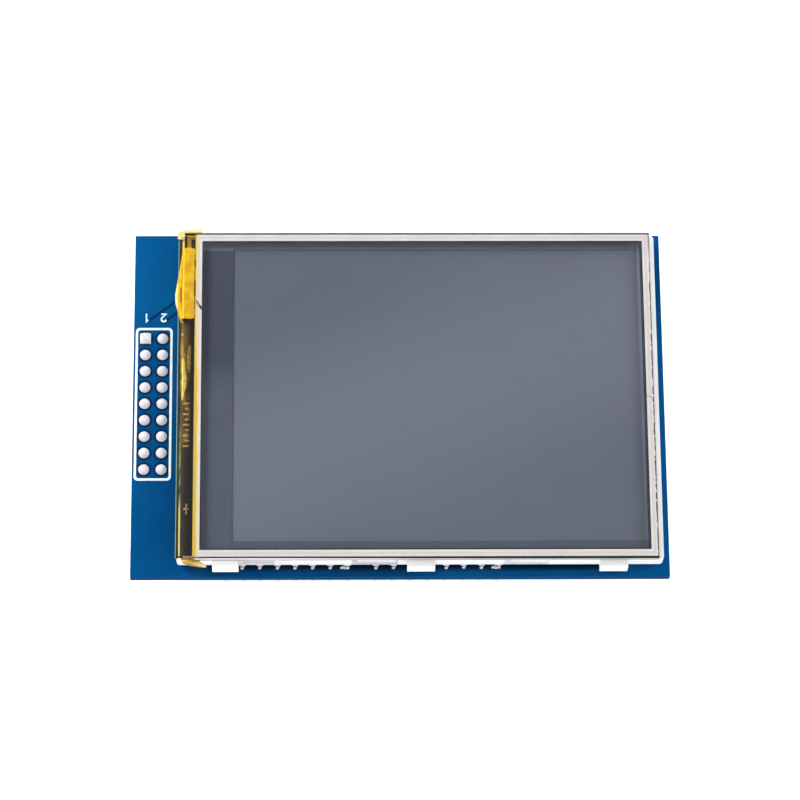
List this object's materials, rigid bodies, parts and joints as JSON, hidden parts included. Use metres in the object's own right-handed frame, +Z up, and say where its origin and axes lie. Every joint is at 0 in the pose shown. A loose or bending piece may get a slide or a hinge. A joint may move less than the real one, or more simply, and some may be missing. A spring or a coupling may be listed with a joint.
{
  "type": "tft display module",
  "caption": "Flat colour display with a touch panel on a blue circuit board, with pin headers and a memory-card socket below, which plugs onto a controller board.",
  "frame": {"origin": "below the middle of the circuit board, at the level of the header pin tips it stands on", "axes": "+X along the board's length, away from the side header; +Y across it, towards the supply and analogue headers; +Z up, out of the screen"},
  "size_m": [0.078, 0.053, 0.0147],
  "materials": {
    "solder_mask": "semi-gloss blue solder mask over glass-fibre board",
    "white_print": "screen print",
    "header_plastic": "moulded black",
    "pin_gold": "gold flash on brass",
    "solder": "bright tin solder",
    "foam": "adhesive foam",
    "white_frame": "moulded white",
    "reflector": "silvered film",
    "guide_acrylic": "clear acrylic",
    "optical_film": "clear film",
    "black_tape": "black adhesive tape",
    "polariser": "grey polarising film",
    "plate_glass": "thin display glass",
    "driver_silicon": "bare silicon",
    "lamp": "white cup with yellow phosphor",
    "flex_dark": "dark cover layer over polyimide",
    "amber_film": "clear amber polyimide",
    "tail_yellow": "yellow polyimide and tape",
    "ring_white": "silver-white print",
    "touch_clear": "clear glass",
    "touch_top": "clear hard-coated film",
    "sheet_steel": "stamped and tinned",
    "socket_plastic": "moulded black",
    "chip_plastic": "moulded epoxy",
    "tinned_lead": "tinned",
    "resistor_black": "glazed black",
    "capacitor_tan": "fired tan",
    "tantalum_yellow": "moulded yellow"
  },
  "bodies": {
    "root": {"circuit_board": "solder_mask", "header_outline_print": "white_print", "low_signal_header": "header_plastic", "high_signal_header": "header_plastic", "supply_header": "header_plastic", "analogue_header": "header_plastic", "side_header": "header_plastic", "low_signal_pins": "pin_gold", "high_signal_pins": "pin_gold", "supply_pin_row": "pin_gold", "analogue_pins": "pin_gold", "side_pins": "pin_gold", "low_signal_joints": "solder", "high_signal_joints": "solder", "supply_joints": "solder", "analogue_joints": "solder", "side_joints": "solder", "mounting_tape": "foam", "backlight_frame": "white_frame", "reflector_sheet": "reflector", "light_guide": "guide_acrylic", "backlight_lamps": "lamp", "lamp_strip": "amber_film", "diffuser_film": "optical_film", "lower_prism_film": "optical_film", "upper_prism_film": "optical_film", "rim_tape": "black_tape", "rear_polariser": "polariser", "array_glass": "plate_glass", "filter_glass": "plate_glass", "front_polariser": "polariser", "driver_chip": "driver_silicon", "display_flex": "flex_dark", "flex_solder": "solder", "ledge_foam": "foam", "edge_film": "amber_film", "touch_tape": "black_tape", "touch_glass": "touch_clear", "spacer_ring": "ring_white", "touch_film": "touch_top", "touch_tail": "tail_yellow", "tail_wrap": "tail_yellow", "card_socket_cover": "sheet_steel", "card_socket_base": "socket_plastic", "card_socket_contacts": "pin_gold", "level_shifter_bodies": "chip_plastic", "level_shifter_leads": "tinned_lead", "regulator_body": "chip_plastic", "regulator_leads": "tinned_lead", "chip_resistors": "resistor_black", "resistor_ends": "solder", "chip_capacitors": "capacitor_tan", "capacitor_ends": "solder", "moulded_capacitors": "tantalum_yellow", "moulded_capacitor_leads": "tinned_lead", "soldering_pads": "solder"}
  },
  "joints": []
}
